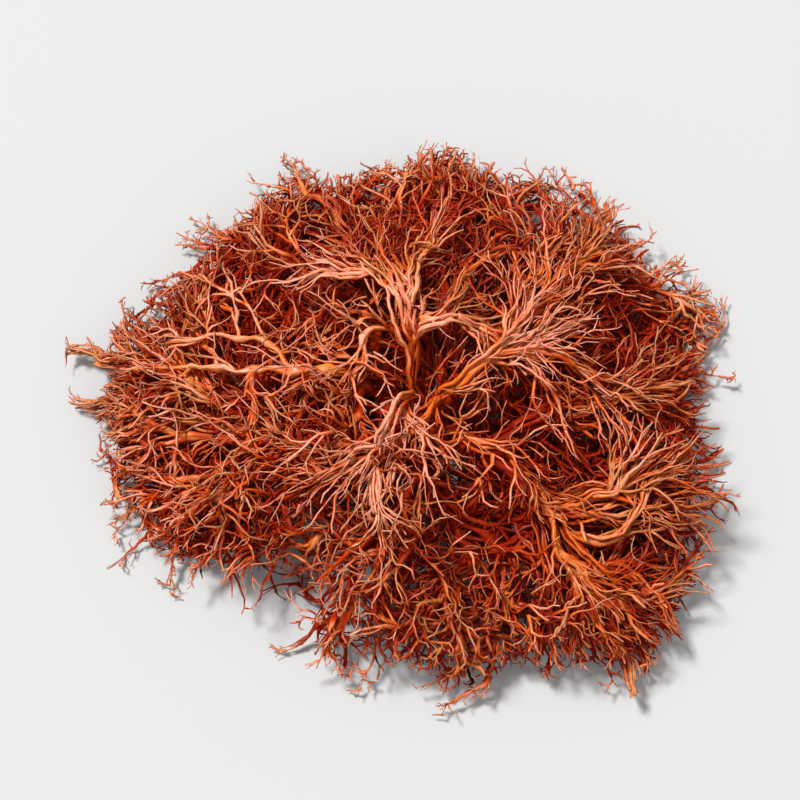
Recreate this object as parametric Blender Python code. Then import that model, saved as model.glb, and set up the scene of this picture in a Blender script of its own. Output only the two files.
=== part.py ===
"""A tuft of edible tree lichen, picked and dried, lying as it lies on a table.

The tuft grew from one holdfast, the woody lump that gripped the bark. Sprays spring from all over it, the
upper ones arching over the lower, fork again and again, and dried into a low, tangled dome. Lengths are
metres, +Z is up, and the origin is the middle of the flat spot under the holdfast.
"""

import math
import random
from collections import deque

import bmesh
import bpy
import numpy as np
from mathutils import Quaternion, Vector, noise

MM = 0.001
UP = Vector((0, 0, 1))

# The tuft: how far it reaches from the holdfast, by heading in degrees from +X towards +Y
REACH_AT = {
    0: 66 * MM,
    40: 72 * MM,
    90: 60 * MM,
    135: 62 * MM,
    170: 66 * MM,
    215: 58 * MM,
    260: 52 * MM,
    300: 58 * MM,
    328: 78 * MM,
}
RAGGED_RIM = (0.93, 1.08)  # of the reach, where a strand stops
GAP = 0.4 * MM  # between strands of two sprays
FLOOR_GAP = 0.15 * MM  # under the lowest strands

# The holdfast, a low lumpy dome with a flat underside, and its sockets, plain holes that the stems stand in
HOLDFAST_RADIUS = 9.5 * MM
HOLDFAST_HEIGHT = 8.5 * MM
HOLDFAST_LUMP = 0.07  # of its radius
HOLDFAST_LUMPS = 2.5  # across its radius
HOLDFAST_COLOUR = (0.05, 0.02, 0.012, 1)
SOCKET_GAP = 0.3 * MM
SOCKET_DEPTH = 2.0 * MM
SOCKET_SIDES = 8

# The stems stand over the holdfast by the sunflower rule, from its top down, each turned by the golden angle
FIRST_HEADING = 8  # degrees
GOLDEN_ANGLE = 137.508  # degrees
LOWEST_FOOT = 3.1 * MM
FEET_BELOW_TOP = 0.9  # of the step in height from one foot to the next
STRAIGHT_FOOT = 2.4 * MM  # of each stem, above the holdfast

# Each spray lies along a low, uneven dome of its own, which comes down at the tuft's rim
LOWEST_LAYER = 1.4 * MM
LOW_ARCH = 5 * MM  # the height of the lowest spray's dome over that, and of the highest one's
HIGH_ARCH = 26 * MM
DOME_POWER = 2.4
WAVE = 0.13  # of the dome's height
WAVE_ALONG_X, WAVE_ALONG_Y, WAVE_SKEW, WAVE_START = 110, 130, 60, 1.3  # radians a metre, and radians
CROWN = 17 * MM  # within this distance of the axis side strands lean in, and so cover the holdfast
CROWN_DIP = 0.22  # how much lower the dome is over the holdfast
CROWN_SPREAD = (5, 75)  # degrees off the straight way in
CROWN_CLIMB = 0.35

# How a spray forks: how far the side strand and the strand that goes on turn, and how crooked they are
ANTLER = {"side_turn": 54, "main_turn": 20, "wander": 15}
BROOM = {"side_turn": 22, "main_turn": 8, "wander": 7}
# In the order of the feet: each spray's share of the tuft's reach, how many degrees its strands swing off
# the straight way out, and its habit
SPRAYS = (
    ("top_spray_1", 0.92, 10, BROOM),
    ("top_spray_2", 0.88, 28, ANTLER),
    ("top_spray_3", 0.80, -30, ANTLER),
    ("top_spray_4", 0.88, 30, ANTLER),
    ("middle_spray_1", 0.95, -30, ANTLER),
    ("middle_spray_2", 1.0, -8, BROOM),
    ("middle_spray_3", 0.97, 32, ANTLER),
    ("middle_spray_4", 0.95, -32, ANTLER),
    ("middle_spray_5", 1.0, -25, ANTLER),
    ("low_spray_1", 1.0, -15, BROOM),
    ("low_spray_2", 1.0, 30, ANTLER),
    ("low_spray_3", 1.0, -28, ANTLER),
    ("low_spray_4", 1.0, -30, ANTLER),
    ("low_spray_5", 1.0, 30, ANTLER),
    ("low_spray_6", 1.0, 30, ANTLER),
)
FAN_SOURCE = 22 * MM  # behind its foot, where a fan's lines would meet
FULL_SWING_AT = 45 * MM  # from the axis

# The strands, by order: 0 for a stem, 1 for what forks from it, and so on
STEPS_LONG = ((9, 10), (3, 6), (2, 4), (1, 2))
STEPS_TO_FORK = ((1, 1), (1, 2), (1, 3))
STEP = (7.2 * MM, 6.6 * MM, 5.8 * MM, 5.0 * MM)
STEP_SPREAD = (0.85, 1.15)
OUTWARD_PULL = (0.45, 0.2, 0.08, 0)
CURL = (9, 19, 26, 30)  # degrees a step
CURL_KEPT, CURL_NEW = 0.6, 0.8  # from one step to the next
MOST_STRANDS = 34  # of one spray
STEM_RADIUS = 1.2 * MM
TIP_RADIUS = 0.44 * MM
THINNER_BY_FORK = 0.8
THINNER_BY_STEP = 0.95
NARROW_TIP = 0.45
NARROW_ROOT = 0.3
STEM_SIDES, TWIG_SIDES = 4, 3

# How a strand grows: straight on, but levelling out and lifted or lowered towards its dome
SLOPE_KEPT = 0.35
LIFT = 0.8
MOST_SINK, MOST_LIFT = -0.9, 1.6
# A fork opens in a nearly level plane, mostly to the other side than the last one did
FORK_TILT, CURL_TILT = 0.45, 0.3
OTHER_SIDE = 0.8  # of the forks
SIDE_SPREAD, MAIN_SPREAD = (0.7, 1.2), (0.6, 1.3)
ROOT_ALONG = 0.3  # where a side strand springs from its parent's step
# Of several tries at a step, from nearly straight to very crooked, the one with the most room is laid
TRIES = 16
FIRST_TRY, CROOKED = 0.4, 2.8  # of the habit's wander
LEAST_STEP = 0.5  # of a whole one
OWN_ROOM, OWN_CROWD = 2 * MM, 1.6  # the clear gap that strands of one spray like to keep, and the worst cost
OTHER_ROOM, OTHER_CROWD = 1.5 * MM, 0.5
TURN_COST, COVER_COST, MOST_COVER = 0.8, 0.35, 4
LOOK_AHEAD = 1.7  # steps
CELL = 3 * MM  # of the map of how well strands cover the tuft seen from above
SEED = 1

LOW_COLOUR = (0.26, 0.035, 0.015, 1)
HIGH_COLOUR = (0.56, 0.13, 0.045, 1)
ROUGHNESS = 0.62
SHARP = math.radians(60)


def across(point):
    """The point's distance from the tuft's axis."""
    return math.hypot(point.x, point.y)


def reach(point):
    """How far the tuft reaches from the holdfast on the heading of the point."""
    heading = math.degrees(math.atan2(point.y, point.x))
    return float(np.interp(heading, list(REACH_AT), list(REACH_AT.values()), period=360))


def turned(direction, axis, degrees):
    return Quaternion(axis, math.radians(degrees)) @ direction


def random_axis(rng):
    return Vector([rng.gauss(0, 1) for _ in range(3)]).normalized()


class Spray:
    """A stem with all that forks from it."""

    def __init__(self, number, name, share, swing, habit):
        self.name, self.share, self.swing, self.habit = name, share, swing, habit
        out = turned(Vector((1, 0, 0)), UP, FIRST_HEADING + GOLDEN_ANGLE * number)
        rank = number / (len(SPRAYS) - 1)
        below_top = (number + FEET_BELOW_TOP) / (len(SPRAYS) - 1 + FEET_BELOW_TOP)
        height = HOLDFAST_HEIGHT + (LOWEST_FOOT - HOLDFAST_HEIGHT) * below_top
        radius = HOLDFAST_RADIUS * math.sqrt(1 - (height / HOLDFAST_HEIGHT) ** 2)
        self.arch = HIGH_ARCH + (LOW_ARCH - HIGH_ARCH) * rank
        self.out = out
        self.foot = out * radius + UP * height
        self.way_out = (out * radius / HOLDFAST_RADIUS**2 + UP * height / HOLDFAST_HEIGHT**2).normalized()
        self.root = self.foot - self.way_out * SOCKET_DEPTH
        self.fan_source = self.foot - out * FAN_SOURCE
        self.strands = []

    def height_over(self, point):
        """The height of the spray's dome there."""
        share = min(1.0, across(point) / (self.share * reach(point)))
        wave = WAVE * math.sin(WAVE_ALONG_X * point.x + WAVE_START)
        wave += WAVE * math.sin(WAVE_ALONG_Y * point.y + WAVE_SKEW * point.x)
        dip = CROWN_DIP * max(0.0, 1 - across(point) / (2 * CROWN))
        return LOWEST_LAYER + self.arch * (1 + wave) * (1 - share**DOME_POWER - dip)

    def outward(self, point):
        """The level direction in which the fan spreads at the point, or straight out past the crown."""
        source = self.fan_source if point.dot(self.out) > 0 else Vector()
        away = Vector((point.x - source.x, point.y - source.y, 0)).normalized()
        return turned(away, UP, self.swing * min(1.0, across(point) / FULL_SWING_AT))


class Strand:
    """A strand and its growing tip."""

    def __init__(self, spray, order, point, direction, radius, rng):
        self.spray, self.order, self.direction = spray, order, direction
        self.points, self.radii = [point], [radius]
        self.curl = rng.gauss(0, CURL[order])
        self.steps_left = rng.randint(*STEPS_LONG[order])
        self.side = rng.choice((-1, 1))
        self.await_fork(rng)
        spray.strands.append(self)

    def await_fork(self, rng):
        last = self.order == len(STEPS_TO_FORK)
        self.steps_to_fork = math.inf if last else rng.randint(*STEPS_TO_FORK[self.order])

    def step_to(self, point, radius):
        self.direction = (point - self.points[-1]).normalized()
        self.points.append(point)
        self.radii.append(radius)
        self.steps_left -= 1
        self.steps_to_fork -= 1

    def wanted_direction(self, rng):
        """Where the tip would grow with nothing in its way: on, outwards, along its dome, curling."""
        point, spray = self.points[-1], self.spray
        ahead = point + self.direction * STEP[0]
        lift = (spray.height_over(ahead) - point.z) / (2 * STEP[0])
        aim = Vector((self.direction.x, self.direction.y, SLOPE_KEPT * self.direction.z))
        aim += LIFT * UP * max(MOST_SINK, min(MOST_LIFT, lift))
        if self.order == 0 or across(point) > CROWN:
            aim += OUTWARD_PULL[self.order] * spray.outward(point)
        self.curl = CURL_KEPT * self.curl + rng.gauss(0, CURL_NEW * CURL[self.order])
        return turned(aim.normalized(), (UP + CURL_TILT * random_axis(rng)).normalized(), self.curl)

    def has_ended(self, rng):
        point = self.points[-1]
        rim = self.spray.share * reach(point) * rng.uniform(*RAGGED_RIM)
        return len(self.points) > 1 and (self.steps_left <= 0 or across(point) > rim)


class Laid:
    """Every step of strand laid so far, for measuring how near a new one would come to them."""

    def __init__(self):
        self.starts, self.ends = np.zeros((0, 3)), np.zeros((0, 3))
        self.radii, self.sprays = np.zeros(0), np.zeros(0, int)
        self.cover = {}

    def add(self, start, end, radius, spray_number):
        self.starts = np.vstack([self.starts, start])
        self.ends = np.vstack([self.ends, end])
        self.radii = np.append(self.radii, radius)
        self.sprays = np.append(self.sprays, spray_number)
        for share in (0.25, 0.5, 0.75, 1.0):
            cell = self.cell(start.lerp(end, share))
            self.cover[cell] = self.cover.get(cell, 0) + 0.25

    def cell(self, point):
        return round(point.x / CELL), round(point.y / CELL)

    def covered(self, point):
        return self.cover.get(self.cell(point), 0)

    def near(self, point, within):
        """Which steps have their middle within this distance of the point."""
        return np.linalg.norm((self.starts + self.ends) / 2 - np.array(point), axis=1) < within

    def gaps(self, start, end, radius, chosen):
        """The clear gap between a new step and each chosen one: capsule to capsule."""
        a, b = np.array(start), np.array(end)
        first, starts = b - a, self.starts[chosen]
        second, between = self.ends[chosen] - starts, a - starts
        ff, ss = first @ first, np.einsum("ij,ij->i", second, second)
        fs, fb = second @ first, between @ first
        sb = np.einsum("ij,ij->i", second, between)
        spread = np.maximum(ff * ss - fs * fs, 1e-18)
        s = np.clip((fs * sb - fb * ss) / spread, 0, 1)
        t = np.clip((fs * s + sb) / ss, 0, 1)
        s = np.clip((fs * t - fb) / ff, 0, 1)
        apart = between + s[:, None] * first - t[:, None] * second
        return np.linalg.norm(apart, axis=1) - radius - self.radii[chosen]


def next_point(strand, aim, number, laid, rng):
    """A step along the aim, bent clear of the other sprays and towards open room, or None."""
    step = STEP[strand.order] * rng.uniform(*STEP_SPREAD)
    start, radius = strand.points[-1], strand.radii[-1]
    chosen = laid.near(start, 4 * STEP[0])
    own = laid.sprays[chosen] == number
    touching = laid.gaps(start, start + aim * 1e-6, radius, chosen) < 0
    best, least = None, math.inf
    for attempt in range(TRIES):
        spread = strand.spray.habit["wander"] * (FIRST_TRY + CROOKED * attempt / TRIES)
        way = turned(aim, random_axis(rng), rng.uniform(-spread, spread))
        end = start + way * step
        end.z = max(end.z, radius + FLOOR_GAP)
        clear = laid.gaps(start, end, radius, chosen)
        if np.any(clear[~own] < GAP) or (end - start).length < LEAST_STEP * step:
            continue
        crowd = np.sum(np.clip(1 - clear[own & ~touching] / OWN_ROOM, 0, OWN_CROWD))
        crowd += OTHER_CROWD * np.sum(np.clip(1 - clear[~own] / OTHER_ROOM, 0, 1))
        cover = laid.covered(end) + laid.covered(start + way * step * LOOK_AHEAD)
        cost = crowd + TURN_COST * way.angle(aim) + COVER_COST * min(cover, MOST_COVER)
        if cost < least:
            best, least = end, cost
    return best


def fork(strand, rng):
    """A side strand that springs from the strand's last step, which turns the other way."""
    start, end = strand.points[-2:]
    normal = (UP + FORK_TILT * random_axis(rng)).normalized()
    strand.side = -strand.side if rng.random() < OTHER_SIDE else strand.side
    habit = strand.spray.habit
    side_turn = strand.side * habit["side_turn"] * rng.uniform(*SIDE_SPREAD)
    main_turn = -strand.side * habit["main_turn"] * rng.uniform(*MAIN_SPREAD)
    way = turned(strand.direction, normal, side_turn)
    if strand.order == 0 and across(end) < CROWN:
        inward = turned(-strand.spray.out, UP, strand.side * rng.uniform(*CROWN_SPREAD))
        way = (inward + CROWN_CLIMB * UP).normalized()
    strand.direction = turned(strand.direction, normal, main_turn)
    strand.await_fork(rng)
    radius = max(TIP_RADIUS, strand.radii[-1] * THINNER_BY_FORK)
    strand.radii[-1] = max(TIP_RADIUS, strand.radii[-1] * THINNER_BY_STEP)
    return Strand(strand.spray, strand.order + 1, start.lerp(end, ROOT_ALONG), way, radius, rng)


def grow():
    """All the sprays, grown together, each strand a step in turn."""
    rng = random.Random(SEED)
    laid, growing, sprays = Laid(), deque(), []
    for number, values in enumerate(SPRAYS):
        spray = Spray(number, *values)
        stem = Strand(spray, 0, spray.root, spray.way_out, STEM_RADIUS, rng)
        stem.step_to(spray.foot + spray.way_out * STRAIGHT_FOOT, STEM_RADIUS)
        laid.add(*stem.points, STEM_RADIUS, number)
        sprays.append(spray)
        growing.append(stem)
    while growing:
        strand = growing.popleft()
        number = sprays.index(strand.spray)
        if strand.has_ended(rng):
            continue
        end = next_point(strand, strand.wanted_direction(rng), number, laid, rng)
        if end is None:
            if len(strand.points) == 1:
                strand.spray.strands.remove(strand)
            continue
        laid.add(strand.points[-1], end, strand.radii[-1], number)
        strand.step_to(end, max(TIP_RADIUS, strand.radii[-1] * THINNER_BY_STEP))
        if strand.steps_to_fork <= 0 and len(strand.spray.strands) < MOST_STRANDS:
            growing.append(fork(strand, rng))
        growing.append(strand)
    return sprays


def new_material(name, colour):
    material = bpy.data.materials.new(name)
    material.use_nodes = True
    shader = material.node_tree.nodes["Principled BSDF"]
    shader.inputs["Base Color"].default_value = colour
    shader.inputs["Roughness"].default_value = ROUGHNESS
    shader.inputs["Metallic"].default_value = 0
    return material


def new_collection(name):
    collection = bpy.data.collections.new(name)
    bpy.context.scene.collection.children.link(collection)
    return collection


def strand_outline(name, sides, guides):
    """The outline of a strand, one metre in radius, that its curve's own radius scales."""
    data = bpy.data.curves.new(name, "CURVE")
    spline = data.splines.new("POLY")
    spline.points.add(sides - 1)
    for i, point in enumerate(spline.points):
        angle = 2 * math.pi * i / sides
        point.co = (math.cos(angle), math.sin(angle), 0, 1)
    spline.use_cyclic_u = True
    outline = bpy.data.objects.new(name, data)
    outline.hide_render = True
    outline.display_type = "WIRE"
    guides.objects.link(outline)
    return outline


def strand_curve(strand, outline, loose):
    """A strand as a bevelled curve. It narrows at its tip, and at its root, which is sunk in its parent."""
    radii = strand.radii[:-1] + [strand.radii[-1] * NARROW_TIP]
    if strand.order:
        radii[0] *= NARROW_ROOT
    data = bpy.data.curves.new("strand", "CURVE")
    data.dimensions = "3D"
    data.bevel_mode = "OBJECT"
    data.bevel_object = outline
    data.use_fill_caps = True
    spline = data.splines.new("POLY")
    spline.points.add(len(strand.points) - 1)
    for point, place, radius in zip(spline.points, strand.points, radii):
        point.co = (*place, 1)
        point.radius = radius
    curve = bpy.data.objects.new("strand", data)
    loose.objects.link(curve)
    return curve


def curve_to_mesh(curve, graph, loose):
    """The curve made a mesh object, with its caps welded to its sides."""
    mesh = bpy.data.meshes.new_from_object(curve.evaluated_get(graph))
    shape = bmesh.new()
    shape.from_mesh(mesh)
    bmesh.ops.remove_doubles(shape, verts=shape.verts, dist=1e-7)
    bmesh.ops.triangulate(shape, faces=shape.faces)
    bmesh.ops.recalc_face_normals(shape, faces=shape.faces)
    shape.to_mesh(mesh)
    shape.free()
    solid = bpy.data.objects.new("strand_solid", mesh)
    solid.matrix_world = curve.matrix_world
    loose.objects.link(solid)
    bpy.data.objects.remove(curve)
    return solid


def fuse_spray(spray, outlines, tuft):
    """Joins all the strands of a spray in one solid."""
    loose = new_collection(spray.name + "_strands")
    curves = [strand_curve(strand, outlines[min(strand.order, 1)], loose) for strand in spray.strands]
    bpy.context.view_layer.update()
    graph = bpy.context.evaluated_depsgraph_get()
    stem, *others = [curve_to_mesh(curve, graph, loose) for curve in curves]
    stem.name = spray.name
    loose.objects.unlink(stem)
    tuft.objects.link(stem)
    union = stem.modifiers.new("union", "BOOLEAN")
    union.operation = "UNION"
    union.operand_type = "COLLECTION"
    union.collection = loose
    union.solver = "MANIFOLD"
    bpy.context.view_layer.update()
    graph = bpy.context.evaluated_depsgraph_get()
    stem.data = bpy.data.meshes.new_from_object(stem.evaluated_get(graph))
    stem.modifiers.clear()
    for other in others:
        bpy.data.objects.remove(other)
    bpy.data.collections.remove(loose)
    rank = spray.foot.z / HOLDFAST_HEIGHT
    colour = [low + (high - low) * rank for low, high in zip(LOW_COLOUR, HIGH_COLOUR)]
    stem.data.materials.clear()
    stem.data.materials.append(new_material(spray.name, colour))
    stem.data.shade_smooth()
    stem.data.set_sharp_from_angle(angle=SHARP)


def added_to(name, collection):
    """The primitive just added, named and moved to the collection."""
    added = bpy.context.object
    added.name = name
    for old in added.users_collection:
        old.objects.unlink(added)
    collection.objects.link(added)
    return added


def make_holdfast(sprays, tuft, cutters):
    """The lumpy dome, cut off flat underneath, with a socket for each stem."""
    bpy.ops.mesh.primitive_ico_sphere_add(subdivisions=3, radius=HOLDFAST_RADIUS)
    holdfast = added_to("holdfast", tuft)
    shape = bmesh.new()
    shape.from_mesh(holdfast.data)
    for vert in shape.verts:
        vert.co *= 1 + HOLDFAST_LUMP * noise.noise(vert.co * HOLDFAST_LUMPS / HOLDFAST_RADIUS)
        vert.co.z *= HOLDFAST_HEIGHT / HOLDFAST_RADIUS
    geometry = shape.verts[:] + shape.edges[:] + shape.faces[:]
    bmesh.ops.bisect_plane(shape, geom=geometry, plane_co=(0, 0, 0), plane_no=UP, clear_inner=True)
    bmesh.ops.holes_fill(shape, edges=shape.edges)
    shape.to_mesh(holdfast.data)
    shape.free()
    holdfast.data.materials.append(new_material("holdfast", HOLDFAST_COLOUR))
    holdfast.data.shade_smooth()
    holdfast.data.set_sharp_from_angle(angle=SHARP)
    depth = SOCKET_DEPTH + SOCKET_GAP
    for spray in sprays:
        bpy.ops.mesh.primitive_cylinder_add(
            vertices=SOCKET_SIDES,
            radius=(STEM_RADIUS + SOCKET_GAP) / math.cos(math.pi / SOCKET_SIDES),
            depth=2 * depth,
            location=spray.foot,
            rotation=spray.way_out.to_track_quat("Z", "Y").to_euler(),
        )
        cutter = added_to(spray.name + "_socket", cutters)
        cutter.hide_render = True
        cutter.display_type = "WIRE"
    sockets = holdfast.modifiers.new("sockets", "BOOLEAN")
    sockets.operation = "DIFFERENCE"
    sockets.operand_type = "COLLECTION"
    sockets.collection = cutters


def main():
    for old in list(bpy.data.objects):
        bpy.data.objects.remove(old)
    tuft = new_collection("tree_lichen_tuft")
    guides = new_collection("strand_outlines")
    cutters = new_collection("sockets")
    stem_outline = strand_outline("stem_outline", STEM_SIDES, guides)
    twig_outline = strand_outline("twig_outline", TWIG_SIDES, guides)
    sprays = grow()
    for spray in sprays:
        fuse_spray(spray, (stem_outline, twig_outline), tuft)
    make_holdfast(sprays, tuft, cutters)


main()
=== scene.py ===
import math
import random
from collections import deque

import bpy
import numpy as np
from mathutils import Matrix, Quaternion, Vector, noise


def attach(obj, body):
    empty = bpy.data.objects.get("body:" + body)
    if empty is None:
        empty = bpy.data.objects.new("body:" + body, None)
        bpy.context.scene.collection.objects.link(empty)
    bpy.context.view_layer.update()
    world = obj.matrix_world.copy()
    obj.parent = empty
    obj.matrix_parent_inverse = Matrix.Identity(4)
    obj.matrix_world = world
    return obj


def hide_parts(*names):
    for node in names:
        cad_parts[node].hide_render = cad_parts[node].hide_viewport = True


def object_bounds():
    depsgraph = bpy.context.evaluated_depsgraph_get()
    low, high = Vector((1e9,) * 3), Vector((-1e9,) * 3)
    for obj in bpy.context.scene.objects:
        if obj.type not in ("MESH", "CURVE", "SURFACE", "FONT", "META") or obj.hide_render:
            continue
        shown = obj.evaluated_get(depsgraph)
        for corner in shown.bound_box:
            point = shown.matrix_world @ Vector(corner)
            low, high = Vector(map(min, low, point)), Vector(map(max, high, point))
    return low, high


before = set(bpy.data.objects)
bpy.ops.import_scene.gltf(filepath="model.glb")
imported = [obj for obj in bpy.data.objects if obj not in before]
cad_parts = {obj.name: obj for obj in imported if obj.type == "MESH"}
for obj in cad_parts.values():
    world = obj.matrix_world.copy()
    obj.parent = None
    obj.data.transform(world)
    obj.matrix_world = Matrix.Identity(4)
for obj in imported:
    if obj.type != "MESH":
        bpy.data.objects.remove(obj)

cad_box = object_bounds()

# The growth of the tuft. Each spray forks strand by strand from the holdfast, by the rule that also made
# the frame's solids. Growing the sprays again gives the middle line and the thickness of every strand, for
# the finer strands to follow.
MM = 0.001
UP = Vector((0, 0, 1))
REACH_AT = {
    0: 66 * MM,
    40: 72 * MM,
    90: 60 * MM,
    135: 62 * MM,
    170: 66 * MM,
    215: 58 * MM,
    260: 52 * MM,
    300: 58 * MM,
    328: 78 * MM,
}
RAGGED_RIM = (0.93, 1.08)
GAP = 0.4 * MM
FLOOR_GAP = 0.15 * MM
HOLDFAST_RADIUS = 9.5 * MM
HOLDFAST_HEIGHT = 8.5 * MM
SOCKET_DEPTH = 2.0 * MM
FIRST_HEADING = 8
GOLDEN_ANGLE = 137.508
LOWEST_FOOT = 3.1 * MM
FEET_BELOW_TOP = 0.9
STRAIGHT_FOOT = 2.4 * MM
LOWEST_LAYER = 1.4 * MM
LOW_ARCH = 5 * MM
HIGH_ARCH = 26 * MM
DOME_POWER = 2.4
WAVE = 0.13
WAVE_ALONG_X, WAVE_ALONG_Y, WAVE_SKEW, WAVE_START = 110, 130, 60, 1.3
CROWN = 17 * MM
CROWN_DIP = 0.22
CROWN_SPREAD = (5, 75)
CROWN_CLIMB = 0.35
ANTLER = {"side_turn": 54, "main_turn": 20, "wander": 15}
BROOM = {"side_turn": 22, "main_turn": 8, "wander": 7}
SPRAYS = (
    ("top_spray_1", 0.92, 10, BROOM),
    ("top_spray_2", 0.88, 28, ANTLER),
    ("top_spray_3", 0.80, -30, ANTLER),
    ("top_spray_4", 0.88, 30, ANTLER),
    ("middle_spray_1", 0.95, -30, ANTLER),
    ("middle_spray_2", 1.0, -8, BROOM),
    ("middle_spray_3", 0.97, 32, ANTLER),
    ("middle_spray_4", 0.95, -32, ANTLER),
    ("middle_spray_5", 1.0, -25, ANTLER),
    ("low_spray_1", 1.0, -15, BROOM),
    ("low_spray_2", 1.0, 30, ANTLER),
    ("low_spray_3", 1.0, -28, ANTLER),
    ("low_spray_4", 1.0, -30, ANTLER),
    ("low_spray_5", 1.0, 30, ANTLER),
    ("low_spray_6", 1.0, 30, ANTLER),
)
FAN_SOURCE = 22 * MM
FULL_SWING_AT = 45 * MM
STEPS_LONG = ((9, 10), (3, 6), (2, 4), (1, 2))
STEPS_TO_FORK = ((1, 1), (1, 2), (1, 3))
STEP = (7.2 * MM, 6.6 * MM, 5.8 * MM, 5.0 * MM)
STEP_SPREAD = (0.85, 1.15)
OUTWARD_PULL = (0.45, 0.2, 0.08, 0)
CURL = (9, 19, 26, 30)
CURL_KEPT, CURL_NEW = 0.6, 0.8
MOST_STRANDS = 34
STEM_RADIUS = 1.2 * MM
TIP_RADIUS = 0.44 * MM
THINNER_BY_FORK = 0.8
THINNER_BY_STEP = 0.95
SLOPE_KEPT = 0.35
LIFT = 0.8
MOST_SINK, MOST_LIFT = -0.9, 1.6
FORK_TILT, CURL_TILT = 0.45, 0.3
OTHER_SIDE = 0.8
SIDE_SPREAD, MAIN_SPREAD = (0.7, 1.2), (0.6, 1.3)
ROOT_ALONG = 0.3
TRIES = 16
NEAR_STEPS = 4
FIRST_TRY, CROOKED = 0.4, 2.8
LEAST_STEP = 0.5
OWN_ROOM, OWN_CROWD = 2 * MM, 1.6
OTHER_ROOM, OTHER_CROWD = 1.5 * MM, 0.5
TURN_COST, COVER_COST, MOST_COVER = 0.8, 0.35, 4
LOOK_AHEAD = 1.7
CELL = 3 * MM
SEED = 1


def across(point):
    """The point's distance from the tuft's axis."""
    return math.hypot(point.x, point.y)


def reach(point):
    """How far the tuft reaches from the holdfast on the heading of the point."""
    heading = math.degrees(math.atan2(point.y, point.x))
    return float(np.interp(heading, list(REACH_AT), list(REACH_AT.values()), period=360))


def turned(direction, axis, degrees):
    return Quaternion(axis, math.radians(degrees)) @ direction


def random_axis(rng):
    return Vector([rng.gauss(0, 1) for _ in range(3)]).normalized()


class Spray:
    """A stem with all that forks from it."""

    def __init__(self, number, name, share, swing, habit):
        self.name, self.share, self.swing, self.habit = name, share, swing, habit
        out = turned(Vector((1, 0, 0)), UP, FIRST_HEADING + GOLDEN_ANGLE * number)
        rank = number / (len(SPRAYS) - 1)
        below_top = (number + FEET_BELOW_TOP) / (len(SPRAYS) - 1 + FEET_BELOW_TOP)
        height = HOLDFAST_HEIGHT + (LOWEST_FOOT - HOLDFAST_HEIGHT) * below_top
        radius = HOLDFAST_RADIUS * math.sqrt(1 - (height / HOLDFAST_HEIGHT) ** 2)
        self.arch = HIGH_ARCH + (LOW_ARCH - HIGH_ARCH) * rank
        self.out = out
        self.foot = out * radius + UP * height
        self.way_out = (out * radius / HOLDFAST_RADIUS**2 + UP * height / HOLDFAST_HEIGHT**2).normalized()
        self.root = self.foot - self.way_out * SOCKET_DEPTH
        self.fan_source = self.foot - out * FAN_SOURCE
        self.strands = []

    def height_over(self, point):
        """The height of the spray's dome there."""
        share = min(1.0, across(point) / (self.share * reach(point)))
        wave = WAVE * math.sin(WAVE_ALONG_X * point.x + WAVE_START)
        wave += WAVE * math.sin(WAVE_ALONG_Y * point.y + WAVE_SKEW * point.x)
        dip = CROWN_DIP * max(0.0, 1 - across(point) / (2 * CROWN))
        return LOWEST_LAYER + self.arch * (1 + wave) * (1 - share**DOME_POWER - dip)

    def outward(self, point):
        """The level direction in which the fan spreads at the point, or straight out past the crown."""
        source = self.fan_source if point.dot(self.out) > 0 else Vector()
        away = Vector((point.x - source.x, point.y - source.y, 0)).normalized()
        return turned(away, UP, self.swing * min(1.0, across(point) / FULL_SWING_AT))


class Strand:
    """A strand and its growing tip."""

    def __init__(self, spray, order, point, direction, radius, rng):
        self.spray, self.order, self.direction = spray, order, direction
        self.points, self.radii = [point], [radius]
        self.curl = rng.gauss(0, CURL[order])
        self.steps_left = rng.randint(*STEPS_LONG[order])
        self.side = rng.choice((-1, 1))
        self.await_fork(rng)
        spray.strands.append(self)

    def await_fork(self, rng):
        last = self.order == len(STEPS_TO_FORK)
        self.steps_to_fork = math.inf if last else rng.randint(*STEPS_TO_FORK[self.order])

    def step_to(self, point, radius):
        self.direction = (point - self.points[-1]).normalized()
        self.points.append(point)
        self.radii.append(radius)
        self.steps_left -= 1
        self.steps_to_fork -= 1

    def wanted_direction(self, rng):
        """Where the tip would grow with nothing in its way: on, outwards, along its dome, curling."""
        point, spray = self.points[-1], self.spray
        ahead = point + self.direction * STEP[0]
        lift = (spray.height_over(ahead) - point.z) / (2 * STEP[0])
        aim = Vector((self.direction.x, self.direction.y, SLOPE_KEPT * self.direction.z))
        aim += LIFT * UP * max(MOST_SINK, min(MOST_LIFT, lift))
        if self.order == 0 or across(point) > CROWN:
            aim += OUTWARD_PULL[self.order] * spray.outward(point)
        self.curl = CURL_KEPT * self.curl + rng.gauss(0, CURL_NEW * CURL[self.order])
        return turned(aim.normalized(), (UP + CURL_TILT * random_axis(rng)).normalized(), self.curl)

    def has_ended(self, rng):
        point = self.points[-1]
        rim = self.spray.share * reach(point) * rng.uniform(*RAGGED_RIM)
        return len(self.points) > 1 and (self.steps_left <= 0 or across(point) > rim)


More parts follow.
